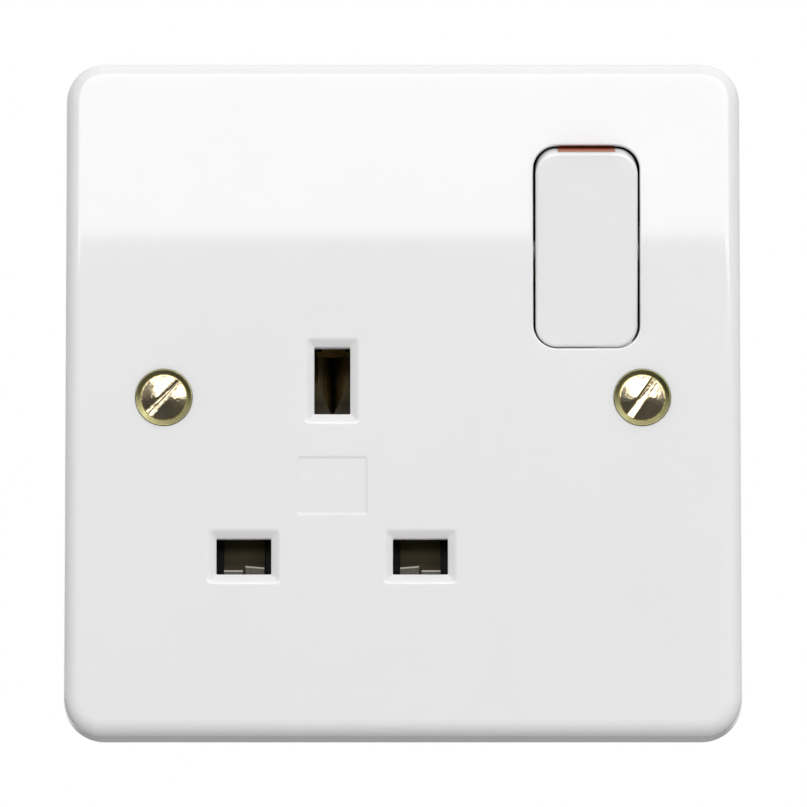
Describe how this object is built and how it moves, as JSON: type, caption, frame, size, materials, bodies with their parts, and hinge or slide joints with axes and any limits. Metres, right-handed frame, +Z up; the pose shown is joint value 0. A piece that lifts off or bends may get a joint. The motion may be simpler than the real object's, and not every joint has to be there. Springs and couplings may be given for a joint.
{
  "type": "switched socket outlet",
  "caption": "Square white wall plate with a rocker switch, bevelled flat-pin plug holes and fixing screws, on a dark rear housing with terminals for a flush box.",
  "frame": {"origin": "on the wall plane, midway between the two fixing screws", "axes": "+X right as seen from the front, +Y into the wall, +Z up"},
  "size_m": [0.086, 0.0273, 0.086],
  "materials": {
    "white_moulding": "glossy white urea moulding",
    "rocker_white": "glossy white moulding",
    "indicator_red": "red moulded insert",
    "dark_moulding": "dark moulding, satin",
    "shutter_dark": "dark moulding, satin",
    "plunger_nylon": "natural nylon",
    "contact_brass": "rolled brass strip",
    "terminal_brass": "machined brass",
    "screw_yellow": "yellow passivated, bright",
    "screw_zinc": "bright zinc",
    "contact_silver": "silver contact",
    "spring_steel": "drawn spring wire"
  },
  "bodies": {
    "base": {"front_plate": "white_moulding", "fixing_screws": "screw_yellow", "fixed_tip": "contact_silver", "line_bracket": "contact_brass", "line_contact": "contact_brass", "neutral_contact": "contact_brass", "earth_contact": "contact_brass", "earth_strap": "contact_brass", "line_terminal": "terminal_brass", "neutral_terminal": "terminal_brass", "earth_terminal_left": "terminal_brass", "earth_terminal_right": "terminal_brass", "rear_housing": "dark_moulding", "housing_screws": "screw_zinc", "shutter_spring": "spring_steel"},
    "rocker": {"rocker": "rocker_white", "on_indicator": "indicator_red", "plunger": "plunger_nylon", "plunger_spring": "spring_steel"},
    "contact_arm": {"moving_contact": "contact_brass", "moving_tip": "contact_silver"},
    "shutter": {"shutter": "shutter_dark"},
    "line_screw": {"line_screw": "screw_zinc"},
    "neutral_screw": {"neutral_screw": "screw_zinc"},
    "earth_screw_left": {"earth_screw_left": "screw_zinc"},
    "earth_screw_right": {"earth_screw_right": "screw_zinc"}
  },
  "joints": [
    {"name": "rocker_tip", "type": "hinge", "parent": "base", "child": "rocker", "pos_m": [0.02318, -0.0046, 0.01915], "axis": [-1, 0, 0], "range_deg": [0, 12]},
    {"name": "contact_rock", "type": "hinge", "parent": "base", "child": "contact_arm", "pos_m": [0.02318, 0.00645, 0.01915], "axis": [1, 0, 0], "range_deg": [0, 24]},
    {"name": "shutter_slide", "type": "slide", "parent": "base", "child": "shutter", "axis": [0, 0, -1], "range_m": [0, 0.00515], "stiffness_N_per_m": 150, "springref_m": -0.004, "deforming": ["shutter_spring"]},
    {"name": "line_screw_travel", "type": "slide", "parent": "base", "child": "line_screw", "axis": [0, -1, 0], "range_m": [0, 0.0024]},
    {"name": "neutral_screw_travel", "type": "slide", "parent": "base", "child": "neutral_screw", "axis": [0, -1, 0], "range_m": [0, 0.0024]},
    {"name": "earth_screw_left_travel", "type": "slide", "parent": "base", "child": "earth_screw_left", "axis": [0, -1, 0], "range_m": [0, 0.0024]},
    {"name": "earth_screw_right_travel", "type": "slide", "parent": "base", "child": "earth_screw_right", "axis": [0, -1, 0], "range_m": [0, 0.0024]}
  ],
  "couplings": [
    {"joint": "contact_rock", "follows": "rocker_tip", "ratio": 2}
  ]
}
